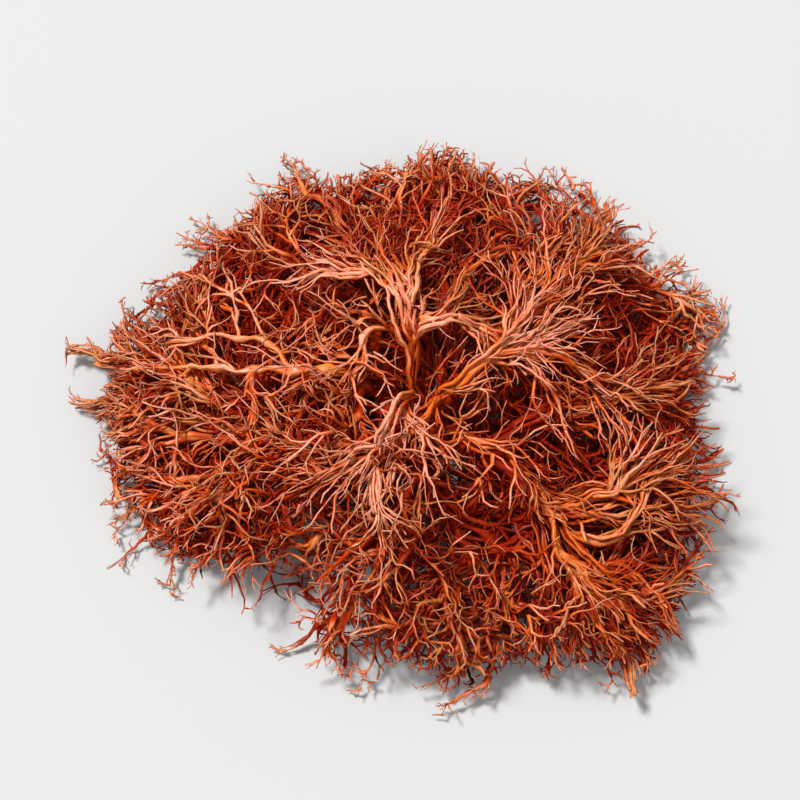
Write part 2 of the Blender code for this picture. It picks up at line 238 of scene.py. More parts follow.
class Laid:
    """Every step of strand laid so far, for measuring how near a new one would come to them."""

    def __init__(self):
        self.starts, self.ends = np.zeros((0, 3)), np.zeros((0, 3))
        self.radii, self.sprays = np.zeros(0), np.zeros(0, int)
        self.cover = {}

    def add(self, start, end, radius, spray_number):
        self.starts = np.vstack([self.starts, start])
        self.ends = np.vstack([self.ends, end])
        self.radii = np.append(self.radii, radius)
        self.sprays = np.append(self.sprays, spray_number)
        for share in (0.25, 0.5, 0.75, 1.0):
            cell = self.cell(start.lerp(end, share))
            self.cover[cell] = self.cover.get(cell, 0) + 0.25

    def cell(self, point):
        return round(point.x / CELL), round(point.y / CELL)

    def covered(self, point):
        return self.cover.get(self.cell(point), 0)

    def near(self, point, within):
        """Which steps have their middle within this distance of the point."""
        return np.linalg.norm((self.starts + self.ends) / 2 - np.array(point), axis=1) < within

    def gaps(self, start, end, radius, chosen):
        """The clear gap between a new step and each chosen one: capsule to capsule."""
        a, b = np.array(start), np.array(end)
        first, starts = b - a, self.starts[chosen]
        second, between = self.ends[chosen] - starts, a - starts
        ff, ss = first @ first, np.einsum("ij,ij->i", second, second)
        fs, fb = second @ first, between @ first
        sb = np.einsum("ij,ij->i", second, between)
        spread = np.maximum(ff * ss - fs * fs, 1e-18)
        s = np.clip((fs * sb - fb * ss) / spread, 0, 1)
        t = np.clip((fs * s + sb) / ss, 0, 1)
        s = np.clip((fs * t - fb) / ff, 0, 1)
        apart = between + s[:, None] * first - t[:, None] * second
        return np.linalg.norm(apart, axis=1) - radius - self.radii[chosen]


def next_point(strand, aim, number, laid, rng):
    """A step along the aim, bent clear of the other sprays and towards open room, or None."""
    step = STEP[strand.order] * rng.uniform(*STEP_SPREAD)
    start, radius = strand.points[-1], strand.radii[-1]
    chosen = laid.near(start, NEAR_STEPS * STEP[0])
    own = laid.sprays[chosen] == number
    touching = laid.gaps(start, start + aim * 1e-6, radius, chosen) < 0
    best, least = None, math.inf
    for attempt in range(TRIES):
        spread = strand.spray.habit["wander"] * (FIRST_TRY + CROOKED * attempt / TRIES)
        way = turned(aim, random_axis(rng), rng.uniform(-spread, spread))
        end = start + way * step
        end.z = max(end.z, radius + FLOOR_GAP)
        clear = laid.gaps(start, end, radius, chosen)
        if np.any(clear[~own] < GAP) or (end - start).length < LEAST_STEP * step:
            continue
        crowd = np.sum(np.clip(1 - clear[own & ~touching] / OWN_ROOM, 0, OWN_CROWD))
        crowd += OTHER_CROWD * np.sum(np.clip(1 - clear[~own] / OTHER_ROOM, 0, 1))
        cover = laid.covered(end) + laid.covered(start + way * step * LOOK_AHEAD)
        cost = crowd + TURN_COST * way.angle(aim) + COVER_COST * min(cover, MOST_COVER)
        if cost < least:
            best, least = end, cost
    return best


def fork(strand, rng):
    """A side strand that springs from the strand's last step, which turns the other way."""
    start, end = strand.points[-2:]
    normal = (UP + FORK_TILT * random_axis(rng)).normalized()
    strand.side = -strand.side if rng.random() < OTHER_SIDE else strand.side
    habit = strand.spray.habit
    side_turn = strand.side * habit["side_turn"] * rng.uniform(*SIDE_SPREAD)
    main_turn = -strand.side * habit["main_turn"] * rng.uniform(*MAIN_SPREAD)
    way = turned(strand.direction, normal, side_turn)
    if strand.order == 0 and across(end) < CROWN:
        inward = turned(-strand.spray.out, UP, strand.side * rng.uniform(*CROWN_SPREAD))
        way = (inward + CROWN_CLIMB * UP).normalized()
    strand.direction = turned(strand.direction, normal, main_turn)
    strand.await_fork(rng)
    radius = max(TIP_RADIUS, strand.radii[-1] * THINNER_BY_FORK)
    strand.radii[-1] = max(TIP_RADIUS, strand.radii[-1] * THINNER_BY_STEP)
    child = Strand(strand.spray, strand.order + 1, start.lerp(end, ROOT_ALONG), way, radius, rng)
    child.springs_along = (end - start).normalized()
    return child


def grow():
    """All the sprays, grown together, each strand a step in turn."""
    rng = random.Random(SEED)
    laid, growing, sprays = Laid(), deque(), []
    for number, values in enumerate(SPRAYS):
        spray = Spray(number, *values)
        stem = Strand(spray, 0, spray.root, spray.way_out, STEM_RADIUS, rng)
        stem.springs_along = spray.way_out
        stem.step_to(spray.foot + spray.way_out * STRAIGHT_FOOT, STEM_RADIUS)
        laid.add(*stem.points, STEM_RADIUS, number)
        sprays.append(spray)
        growing.append(stem)
    while growing:
        strand = growing.popleft()
        number = sprays.index(strand.spray)
        if strand.has_ended(rng):
            continue
        end = next_point(strand, strand.wanted_direction(rng), number, laid, rng)
        if end is None:
            if len(strand.points) == 1:
                strand.spray.strands.remove(strand)
            continue
        laid.add(strand.points[-1], end, strand.radii[-1], number)
        strand.step_to(end, max(TIP_RADIUS, strand.radii[-1] * THINNER_BY_STEP))
        if strand.steps_to_fork <= 0 and len(strand.spray.strands) < MOST_STRANDS:
            growing.append(fork(strand, rng))
        growing.append(strand)
    return sprays


sprays = grow()

# The middle lines of the strands. A real strand is nearly straight from bend to bend, and drying makes them
# all a little wavy. So each strand's points are joined by a curve that bends mostly at the points, and a
# smooth field then moves every line, so that neighbours wave alike.
PER_STEP = 5  # pieces of curve in each step of growth
ROUNDED = 0.62  # 0 for a sharp bend at each point, 1 for the smoothest curve
LIKE_PARENT = 0.45  # how much a side strand starts out along its parent
WAVES = ((1.7 * MM, 8.0 * MM), (0.7 * MM, 2.8 * MM))  # how far each moves a line, and its length
LEVEL_WAVES = (1, 1, 0.6)  # less up and down than sideways
FULL_WAVES = 8 * MM  # past the holdfast, from where the lines move their full way
BOX_ROOM = (0, 0, 0.3 * MM)
SLIM = 0.68  # a strand's thickness between forks, as a share of its thickness in the frame
WEB = 1.2  # the same at a fork
WEB_LENGTH = 1.7 * MM
STOUT_WITHIN = 14 * MM  # of the axis, where the stems are as thick as their sockets
TIP_STEPS = 1.3  # of growth, in which a strand thins to its tip
LEAST_TIP = 0.35  # of its thickness, at the tip
draw = np.random.default_rng(11)
noise.seed_set(11)  # without it the field differs from run to run


def unit(vectors):
    return vectors / np.maximum(np.linalg.norm(vectors, axis=-1, keepdims=True), 1e-12)


def waved(points):
    """The points moved by the smooth field, less near the holdfast, and kept inside the frame's box."""
    flat = points.reshape(-1, 3)
    moved = np.zeros_like(flat)
    for size, length in WAVES:
        moved += size * np.array([noise.noise_vector(Vector(point / length)) for point in flat])
    free = np.clip((np.linalg.norm(flat, axis=1) - HOLDFAST_RADIUS) / FULL_WAVES, 0, 1)
    moved *= free[:, None] * LEVEL_WAVES
    low, high = np.array(cad_box[0]) + BOX_ROOM, np.array(cad_box[1]) - BOX_ROOM
    return np.clip(flat + moved, low, high).reshape(points.shape)


def strand_line(strand, forks):
    """A strand's path, and its radius at each point, which swells near these forks."""
    points = np.array([tuple(point) for point in strand.points])
    radii = np.array(strand.radii)
    ways = np.empty_like(points)
    ways[1:-1] = (points[2:] - points[:-2]) / 2
    ways[-1] = points[-1] - points[-2]
    first = points[1] - points[0]
    ways[0] = first + LIKE_PARENT * (np.array(strand.springs_along) * np.linalg.norm(first) - first)
    ways *= ROUNDED
    path, thick = [], []
    for i in range(len(points) - 1):
        for t in np.arange(PER_STEP) / PER_STEP:
            path.append(
                (2 * t**3 - 3 * t**2 + 1) * points[i]
                + (t**3 - 2 * t**2 + t) * ways[i]
                + (3 * t**2 - 2 * t**3) * points[i + 1]
                + (t**3 - t**2) * ways[i + 1]
            )
            thick.append(radii[i] + (radii[i + 1] - radii[i]) * t)
    path.append(points[-1])
    thick.append(radii[-1])
    path, thick = np.array(path), np.array(thick)
    to_fork = np.linalg.norm(path[:, None] - forks, axis=2).min(axis=1)
    stout = np.clip(2 - 2 * np.hypot(path[:, 0], path[:, 1]) / STOUT_WITHIN, 0, 1) * (strand.order == 0)
    slim = SLIM + (1 - SLIM) * stout
    thick *= slim + (WEB - slim) * np.exp(-((to_fork / WEB_LENGTH) ** 2))
    to_tip = np.arange(len(thick))[::-1] / (TIP_STEPS * PER_STEP)
    return path, thick * np.clip(to_tip, LEAST_TIP, 1)


# The twigs. Between its forks a real strand carries twigs under a millimetre thick. They fork to one side
# and then the other, turn the other way at each fork, and hook at the tip. They are short past the ragged
# rim, and stouter and closer together in the lowest layer. Dark hollows open where hardly any grew.
HAIR = 3  # the place of the hairs in these lists, after three generations of twigs
TWIG_STEPS = (7, 5, 4, 11)
TWIG_SIDES = {"top": (5, 4, 3, 3), "middle": (5, 4, 3, 3), "low": (4, 3, 3, 3)}
TWIG_LENGTH = ((7 * MM, 15.5 * MM), (4.5 * MM, 10 * MM), (2.4 * MM, 5.5 * MM), (8 * MM, 17 * MM))
TWIG_RADIUS = (0.39 * MM, 0.29 * MM, 0.22 * MM, 0.11 * MM)
TWIG_TURN = (25, 60)  # degrees off its parent
TWIG_BEND = ((0.05, 0.42), (0.08, 0.5), (0.1, 0.6), (0.25, 0.7))  # radians a step
TWIG_SWING = (0.3, 1.3)  # radians a step, by which the bend itself swings
TWIG_HOOK = 1.8
TWIG_KINK = 0.13
FORK_BACK = 0.35
STEPS_TO_FORK_TWIG = (2, 5)
TWIG_TILT = 0.55
TWIG_SPREAD = (0.75, 1.2)
TWIG_TAPER = 0.45
LEVELLING = 0.85  # of a twig's climb is kept at each step
FLOOR_LIFT, LIFT_UNDER = 0.5, 2 * MM
TOP_SINK = 0.7
LIFT_OVER = 3 * MM  # the height in which both set in
TWIGS_APART = {"top": 3.0 * MM, "middle": 2.25 * MM, "low": 1.6 * MM}
FIRST_TWIG = (0.3, 1.0)  # of that spacing
LAST_TWIG = 0.97  # of the strand's length
UNEVEN = 0.3  # of that spacing
BROOM_NARROW = 0.45
RIM_LOBES, LOBE_RATE = 0.16, 3
RIM_AT = 0.98
RIM_FROM, RIM_WIDTH = 0.84, 0.16
RIM_THIN = 0.7
RIM_SHORT, RIM_SHORTER = 0.5, 0.6
HOLLOW_SIZE = 15 * MM
HOLLOW_FIELD = Vector((13.6, 0, 0))  # which part of the smooth field places the hollows
MEAN_FULL, HOLLOW_EDGE = 0.78, 2.4
LEAST_FULL = {"top": 0.06, "middle": 0.1, "low": 0.9}
TWIG_STOUT = {"top": 1.0, "middle": 1.0, "low": 1.4}


def turned_all(vectors, axes, angles):
    """Each vector turned about its own axis by its own angle."""
    cos, sin = np.cos(angles)[:, None], np.sin(angles)[:, None]
    along = np.sum(axes * vectors, axis=1, keepdims=True)
    return vectors * cos + np.cross(axes, vectors) * sin + axes * along * (1 - cos)


def past_rim(points):
    """0 well inside the tuft's ragged rim, and 1 at it."""
    heading = np.arctan2(points[:, 1], points[:, 0])
    rim = np.interp(np.degrees(heading), list(REACH_AT), list(REACH_AT.values()), period=360)
    lobes = [noise.noise(Vector((LOBE_RATE * math.cos(h), LOBE_RATE * math.sin(h), 0))) for h in heading]
    rim *= RIM_AT + RIM_LOBES * np.array(lobes)
    return np.clip((np.hypot(points[:, 0], points[:, 1]) / rim - RIM_FROM) / RIM_WIDTH, 0, 1)


def full(points, least):
    """The share of twigs that grew at these points, which is least in the hollows."""
    swell = np.array([noise.noise(Vector(point / HOLLOW_SIZE) + HOLLOW_FIELD) for point in points])
    return np.clip(MEAN_FULL + HOLLOW_EDGE * swell, least, 1)


def twigs(starts, ways, sides, generation, narrow, stout):
    """Twigs from these points, each turned to its side of this way.

    Returns their paths, their radii and where they fork. narrow draws them in and stout thickens them.
    """
    count, steps = len(starts), TWIG_STEPS[generation]
    shrunk = past_rim(starts)
    step = draw.uniform(*TWIG_LENGTH[generation], count) / steps * (1 - RIM_SHORT * shrunk)
    axis = unit(np.array((0, 0, 1)) + TWIG_TILT * draw.normal(size=(count, 3)))
    way = turned_all(ways, axis, narrow * sides * np.radians(draw.uniform(*TWIG_TURN, count)))
    bend = narrow * draw.uniform(*TWIG_BEND[generation], count) * draw.choice((-1, 1), count)
    phase, rate = draw.uniform(0, 2 * math.pi, count), draw.uniform(*TWIG_SWING, count)
    side = draw.choice((-1.0, 1.0), count)
    fork_at = draw.integers(*STEPS_TO_FORK_TWIG, count)
    path, forks = [starts], []
    for number in range(steps):
        here = path[-1]
        forking = np.flatnonzero(fork_at == number)
        forks.append((forking, here[forking], way[forking], side[forking]))
        turn = bend * (1 + TWIG_HOOK * (number / steps) ** 3) * np.cos(phase + rate * number)
        turn += draw.normal(0, TWIG_KINK, count)
        turn[forking] -= FORK_BACK * narrow * side[forking]
        side[forking] *= -1
        fork_at[forking] += draw.integers(*STEPS_TO_FORK_TWIG, len(forking))
        way = turned_all(way, axis, turn)
        way[:, 2] *= LEVELLING
        way[:, 2] += FLOOR_LIFT * np.clip((LIFT_UNDER - here[:, 2]) / LIFT_OVER, 0, 1)
        way[:, 2] -= TOP_SINK * np.clip((here[:, 2] - cad_box[1][2]) / LIFT_OVER + 1, 0, 1)
        way = unit(way)
        path.append(here + way * (step * (1 - RIM_SHORTER * past_rim(here)))[:, None])
    forks = [np.concatenate(part) for part in zip(*forks)]
    thick = TWIG_RADIUS[generation] * draw.uniform(*TWIG_SPREAD, (count, 1))
    thick = thick * np.linspace(1, TWIG_TAPER, steps + 1)
    thick *= stout + (RIM_THIN - stout) * shrunk[:, None]
    return np.stack(path, axis=1), thick, forks


def twig_starts(path, apart, least):
    """Points about this far apart along the path, the way of the path there, and a side for each."""
    steps = np.linalg.norm(np.diff(path, axis=0), axis=1)
    along = np.concatenate([[0], np.cumsum(steps)])
    places = np.arange(apart * draw.uniform(*FIRST_TWIG), along[-1] * LAST_TWIG, apart)
    places += apart * draw.uniform(-UNEVEN, UNEVEN, len(places))
    at = np.clip(np.searchsorted(along, places, side="right") - 1, 0, len(steps) - 1)
    part = ((places - along[at]) / steps[at])[:, None]
    sides = draw.choice((-1.0, 1.0)) * np.where(np.arange(len(places)) % 2, 1.0, -1.0)
    starts = path[at] + (path[at + 1] - path[at]) * part
    grown = draw.random(len(places)) < full(starts, least)
    return starts[grown], unit(path[at + 1] - path[at])[grown], sides[grown]


# The flesh of the strands. A dried strand is a cord flatter than it is wide, twisted as it shrank, pleated
# lengthwise and knobbly. Each is swept along its line as rings of points, and closed by a point at each end.
PLEAT = 0.09
PLEATED_SIDES = 6  # or more
FLAT, FLAT_SPREAD = 0.27, (0.4, 1.3)
TWIST = 0.3  # radians from ring to ring
KNOBS = 0.15
STRAND_SIDES = (14, 10, 8, 8)  # by the strand's order
TIP_POINT, ROOT_POINT = 1.6, 0.5  # their lengths, by the thickness there
LEAST_LINE = 0.75  # of its thickness, for a line's height over the floor
LEAST_SKIN = 0.05 * MM  # for the skin's
GRAIN_RATE = 300  # a metre
GRAIN_STARTS = 40  # between these and 0, so that no two strands are marked alike
END_ROOM = 0.3 * MM
STRIP_GAP = 0.3 * MM
MAP_SLACK = 1.04


def frames(paths):
    """Two directions across each path at each point, which don't turn round it."""
    ways = unit(np.gradient(paths, axis=1))
    side = unit(np.cross(ways[:, 0], draw.normal(size=(len(paths), 3))))
    sidewards = []
    for ring in range(paths.shape[1]):
        side = unit(side - ways[:, ring] * np.sum(side * ways[:, ring], axis=1, keepdims=True))
        sidewards.append(side)
    sidewards = np.stack(sidewards, axis=1)
    return sidewards, np.cross(ways, sidewards), ways


def swept(paths, thick, sides, tone, age):
    """The points of these strands, with what the finish needs to know at each.

    The strands have as many points as each other. tone is one number a strand, and age runs from 0 on old
    stems to 1 at young tips.
    """
    paths = waved(paths)
    paths[..., 2] = np.maximum(paths[..., 2], LEAST_LINE * thick)
    count, rings = thick.shape
    sidewards, upwards, ways = frames(paths)
    around = np.arange(sides) * 2 * math.pi / sides
    start = draw.uniform(0, 2 * math.pi, (count, 1))
    twist = start + np.cumsum(draw.normal(0, TWIST, (count, rings)), axis=1)
    pleats = PLEAT * np.where(np.arange(sides) % 2, 1, -1) * (sides >= PLEATED_SIDES)
    flat = FLAT * draw.uniform(*FLAT_SPREAD, (count, 1, 1))
    radius = 1 + flat * np.cos(2 * (around + twist[..., None])) + pleats
    radius = radius * (1 + KNOBS * draw.normal(size=(count, rings, 1))) * thick[..., None]
    rim = np.cos(around)[:, None] * sidewards[:, :, None] + np.sin(around)[:, None] * upwards[:, :, None]
    points = paths[:, :, None] + rim * radius[..., None]
    points[..., 2] = np.maximum(points[..., 2], LEAST_SKIN)
    tips = paths[:, -1] + ways[:, -1] * thick[:, -1:] * TIP_POINT
    roots = paths[:, 0] - ways[:, 0] * thick[:, :1] * ROOT_POINT
    ends = np.concatenate([tips, roots])
    ends[:, 2] = np.maximum(ends[:, 2], LEAST_SKIN)
    steps = np.linalg.norm(np.diff(paths, axis=1), axis=2)
    along = np.concatenate([np.zeros((count, 1)), np.cumsum(steps, axis=1)], axis=1)
    grain = np.empty(points.shape)
    grain[..., 0], grain[..., 1] = np.cos(around), np.sin(around)
    grain[..., 2] = (along * GRAIN_RATE)[..., None]
    grain += draw.uniform(0, GRAIN_STARTS, (count, 1, 1, 3))
    return {
        "shape": (count, rings, sides),
        "points": np.concatenate([points.reshape(-1, 3), ends]),
        "grain": np.concatenate([grain.reshape(-1, 3), grain[:, -1].mean(axis=1), grain[:, 0].mean(axis=1)]),
        "tone": np.concatenate([np.repeat(tone, rings * sides), tone, tone]),
        "age": np.concatenate([np.repeat(age.ravel(), sides), age[:, -1], age[:, 0]]),
        "along": along,
        "girth": 2 * math.pi * thick.max(axis=1),
    }


def strip_places(lengths, girths):
    """Where each strand's unrolled skin lies on a square map, in rows, and the square's side."""
    width = MAP_SLACK * math.sqrt(np.sum((lengths + STRIP_GAP) * (girths + STRIP_GAP)))
    places, right, up, row = np.zeros((len(lengths), 2)), 0.0, 0.0, 0.0
    for number in np.argsort(-girths):
        if right + lengths[number] > width:
            right, up, row = 0.0, up + row, 0.0
        places[number] = right + END_ROOM, up
        right += lengths[number] + STRIP_GAP
        row = max(row, girths[number] + STRIP_GAP)
    return places, max(width, up + row)


def joined_mesh(name, sweeps, depth):
    """One mesh of all these strands, with a map that unrolls each strand's skin as a strip."""
    lengths = np.concatenate([sweep["along"][:, -1] + 2 * END_ROOM for sweep in sweeps])
    girths = np.concatenate([sweep["girth"] for sweep in sweeps])
    places, square = strip_places(lengths, girths)
    faces, map_points, first, strip = [], [], 0, 0
    for sweep in sweeps:
        count, rings, sides = sweep["shape"]
        ring = first + np.arange(count * rings).reshape(count, rings, 1) * sides
        tip = first + count * rings * sides + np.arange(count)[:, None]
        spoke, after = np.arange(sides), (np.arange(sides) + 1) % sides
        low, high, last = ring[:, :-1], ring[:, 1:], ring[:, -1]
        quads = np.stack([low + spoke, low + after, high + after, high + spoke], axis=-1)
        fans = np.stack(np.broadcast_arrays(last + spoke, last + after, tip), axis=-1)
        stubs = np.stack(np.broadcast_arrays(ring[:, 0] + after, ring[:, 0] + spoke, tip + count), axis=-1)
        for shapes in (quads.reshape(-1, 4), fans.reshape(-1, 3), stubs.reshape(-1, 3)):
            faces += shapes.tolist()
        place, girth = places[strip : strip + count], sweep["girth"]
        far, end = sweep["along"][:, :, None, None], sweep["along"][:, -1, None, None]
        far = np.concatenate(np.broadcast_arrays(far[:, :-1], far[:, :-1], far[:, 1:], far[:, 1:]), axis=-1)
        wide = np.stack([spoke, spoke + 1, spoke + 1, spoke], axis=-1) / sides * girth[:, None, None, None]
        quad_map = np.stack(np.broadcast_arrays(far, wide), axis=-1) + place[:, None, None, None]
        wide = np.stack([spoke, spoke + 1, spoke + 0.5], axis=-1) / sides * girth[:, None, None]
        map_points.append(quad_map.reshape(-1, 2))
        for base, point in ((end, end + END_ROOM), (0 * end, 0 * end - END_ROOM)):
            far = np.concatenate([base, base, point], axis=-1)
            end_map = np.stack(np.broadcast_arrays(far, wide), axis=-1) + place[:, None, None]
            map_points.append(end_map.reshape(-1, 2))
        first += len(sweep["points"])
        strip += count
    mesh = bpy.data.meshes.new(name)
    points = np.concatenate([sweep["points"] for sweep in sweeps])
    mesh.from_pydata(points.tolist(), [], faces)
    skin = mesh.uv_layers.new(name="OFBake")
    skin.uv.foreach_set("vector", (np.concatenate(map_points) / square).ravel())
    grain = np.concatenate([sweep["grain"] for sweep in sweeps])
    mesh.attributes.new("grain", "FLOAT_VECTOR", "POINT").data.foreach_set("vector", grain.ravel())
    for kind in ("tone", "age"):
        values = np.concatenate([sweep[kind] for sweep in sweeps])
        mesh.attributes.new(kind, "FLOAT", "POINT").data.foreach_set("value", values)
    mesh.attributes.new("depth", "FLOAT", "POINT").data.foreach_set("value", depth)
    mesh.shade_smooth()
    return mesh


# The finish of the thallus. Dried, it is burnt orange to brick red: salmon where it is worn and at young
# tips, ochre in patches, with pale flecks and a faint waxy shine. Painted light makes upper sides and the
# top of the tuft salmon, and painted shade turns strands deep red to maroon down in the tuft, on their
# undersides and in the furrows of the fine pleats. A few dead twigs are nearly black, and a few hairs are
# straw.
class Field:
    """A number or colour that changes over a surface. Arithmetic on it adds Math nodes."""

    def __init__(self, finish, socket):
        self.finish, self.socket = finish, socket

    def math(self, operation, first, second):
        return self.finish.node("ShaderNodeMath", {"operation": operation}, {0: first, 1: second})

    def __add__(self, other):
        return self.math("ADD", self, other)

    def __radd__(self, other):
        return self.math("ADD", other, self)

    def __sub__(self, other):
        return self.math("SUBTRACT", self, other)

    def __rsub__(self, other):
        return self.math("SUBTRACT", other, self)

    def __mul__(self, other):
        return self.math("MULTIPLY", self, other)

    def __rmul__(self, other):
        return self.math("MULTIPLY", other, self)

    def rising(self, low, high):
        """0 where the number is under low, 1 where it is over high, and smooth between."""
        sockets = {"Value": self, "From Min": low, "From Max": high}
        return self.finish.node("ShaderNodeMapRange", {"interpolation_type": "SMOOTHSTEP"}, sockets)


class Finish:
    """A material, built node by node."""

    def __init__(self, name):
        self.material = bpy.data.materials.new(name)
        self.material.use_nodes = True
        self.tree = self.material.node_tree
        self.surface = self.tree.nodes["Principled BSDF"]

    def set(self, sockets, name, value):
        if isinstance(value, Field):
            self.tree.links.new(value.socket, sockets[name])
        else:
            sockets[name].default_value = value

    def node(self, kind, settings, sockets, output=0):
        node = self.tree.nodes.new(kind)
        for name, value in settings.items():
            setattr(node, name, value)
        for name, value in sockets.items():
            self.set(node.inputs, name, value)
        return Field(self, node.outputs[output])

    def mixed(self, share, first, second):
        """A colour between two, by the share of the second."""
        return self.node("ShaderNodeMix", {"data_type": "RGBA"}, {0: share, 6: first, 7: second}, 2)

    def noise(self, vector, scale, detail, roughness):
        sockets = {"Vector": vector, "Scale": scale, "Detail": detail, "Roughness": roughness}
        return self.node("ShaderNodeTexNoise", {}, sockets)

    def finish(self, **sockets):
        for name, value in sockets.items():
            self.set(self.surface.inputs, name.replace("_", " "), value)
        return self.material


BRICK = (0.76, 0.105, 0.004, 1)
ORANGE = (0.99, 0.25, 0.022, 1)
SALMON = (0.99, 0.385, 0.24, 1)
OCHRE = (0.52, 0.20, 0.03, 1)
# The colours of painted shade: deep red and maroon, for strands down in the tuft, on undersides and in pleat
# furrows.
SHADE_RED = (0.60, 0.036, 0.001, 1)
SHADE_MAROON = (0.30, 0.005, 0.0005, 1)
PALE = (0.92, 0.52, 0.38, 1)
DEAD = (0.04, 0.007, 0.003, 1)
STRAW = (0.84, 0.50, 0.28, 1)
DEAD_TONE, STRAW_TONE = -1.0, 2.0

thallus = Finish("dried_thallus")
grain = thallus.node("ShaderNodeAttribute", {"attribute_name": "grain"}, {}, "Vector")
tone = thallus.node("ShaderNodeAttribute", {"attribute_name": "tone"}, {}, "Fac")
age = thallus.node("ShaderNodeAttribute", {"attribute_name": "age"}, {}, "Fac")
depth = thallus.node("ShaderNodeAttribute", {"attribute_name": "depth"}, {}, "Fac")
place = thallus.node("ShaderNodeTexCoord", {}, {}, "Object")
normal = thallus.node("ShaderNodeTexCoord", {}, {}, "Normal")
# upper is 1 on sides that face up, which take painted light, and 0 on undersides, which take painted shade.
upper = thallus.node("ShaderNodeSeparateXYZ", {}, {"Vector": normal}, "Z").rising(-0.15, 0.95)
pleats = thallus.noise(grain, 1.8, 3.0, 0.65)
mottle = thallus.noise(grain, 0.5, 3.0, 0.6)
patches = thallus.noise(place, 60, 3.0, 0.6)
# Painted shade: how far down in the tuft a point lies, darker still in broad patches.
shade = depth + (thallus.noise(place, 26, 2.0, 0.5) - 0.5) * 1.1
flecks = thallus.noise(place, 1500, 2.0, 0.6)
colour = thallus.mixed((tone * 0.8 + mottle * 0.6 - 0.2).rising(0.1, 0.75), BRICK, ORANGE)
# Salmon where the strand is worn, mottled or young, and painted light on upper sides and near the top of the
# tuft.
wear_and_painted_light = (mottle * 0.9 + tone * 0.4 + upper * 0.45 + age * 0.35 - shade * 1.1).rising(0.8, 1.4)
colour = thallus.mixed(wear_and_painted_light, colour, SALMON)
colour = thallus.mixed((patches + tone * 0.3).rising(0.62, 0.78) * 0.6, colour, OCHRE)
colour = thallus.mixed(flecks.rising(0.66, 0.78) * 0.4, colour, PALE)
# Painted shade: maroon in the furrows between the pleats.
colour = thallus.mixed((1 - pleats.rising(0.3, 0.55)) * 0.68, colour, SHADE_MAROON)
# Painted shade: deep red down in the tuft and on undersides.
colour = thallus.mixed((depth * 1.5 + mottle * 0.5 - upper * 0.4).rising(0.2, 1.0) * 0.5, colour, SHADE_RED)
# Painted shade: maroon deeper in the tuft and in broad darker patches.
colour = thallus.mixed((shade + mottle * 0.4).rising(0.35, 1.0) * 0.87, colour, SHADE_MAROON)
# Painted shade: maroon on the undersides.
colour = thallus.mixed((1 - upper) * 0.35, colour, SHADE_MAROON)
colour = thallus.mixed(1 - tone.rising(-0.8, -0.4), colour, DEAD)
colour = thallus.mixed(tone.rising(1.4, 1.8), colour, STRAW)
relief = thallus.node(
    "ShaderNodeBump", {}, {"Strength": 0.9, "Distance": 0.0005, "Height": pleats * 0.8 + flecks * 0.3}
)
thallus_material = thallus.finish(
    Base_Color=colour,
    Roughness=0.45 + 0.3 * mottle,
    Normal=relief,
    Specular_IOR_Level=0.06,
    Coat_Weight=(tone * 2 + 1.3 - depth * 2.6).rising(0.0, 1.0) * 0.4,
    Coat_Roughness=0.32,
)

# The sprays, each one piece: the fine strands with their twigs, in place of the frame's plain ones. Each
# stands in the holdfast by its stem. In the brooms, thin strands run beside the main ones and wind slowly
# round them, which makes the twisted bundles. Pale curled hairs stand here and there.
BESIDE, BESIDE_SIDES = 4, 6
BESIDE_GAP = (0.5 * MM, 1.9 * MM)
BESIDE_RADIUS, BESIDE_TAPER = (0.32 * MM, 0.6 * MM), 0.5
BESIDE_LEAVES = 4 * MM  # the length in which it leaves the main strand
LEAST_BESIDE = 2  # steps of growth, of a strand that has others beside it
SPLIT = 0.75  # how thin the main strand is there
WIND = 120  # radians a metre
BROOM_APART = 2.2  # times as far
DEAD_SHARE = 0.01
HAIR_SHARE = 0.04
TONE, TONE_SPREAD, TONE_BESIDE = 0.5, 0.22, 0.2
AGE_BY_ORDER, AGE_ALONG = 0.25, 0.35
TWIG_AGE, TWIG_AGE_BY_ORDER, TWIG_AGE_ALONG = 0.5, 0.15, 0.4
BROAD_CELL, BROAD_ROUNDS, BROAD_DEEP, BROAD_SHARE = 4 * MM, 2, 11 * MM, 0.65
FINE_CELL, FINE_ROUNDS, FINE_DEEP, FINE_SHARE = 1.5 * MM, 0, 4 * MM, 0.35


def beside(path):
    """The paths of thin strands that spring from this one and run beside it."""
    along = np.concatenate([[0], np.cumsum(np.linalg.norm(np.diff(path, axis=0), axis=1))])
    sidewards, upwards, _ = frames(path[None])
    angle = draw.uniform(0, 2 * math.pi, (BESIDE, 1)) + draw.uniform(-WIND, WIND, (BESIDE, 1)) * along
    gap = draw.uniform(*BESIDE_GAP, (BESIDE, 1)) * (1 - np.exp(-along / BESIDE_LEAVES))
    off = np.cos(angle)[..., None] * sidewards + np.sin(angle)[..., None] * upwards
    return path + gap[..., None] * off


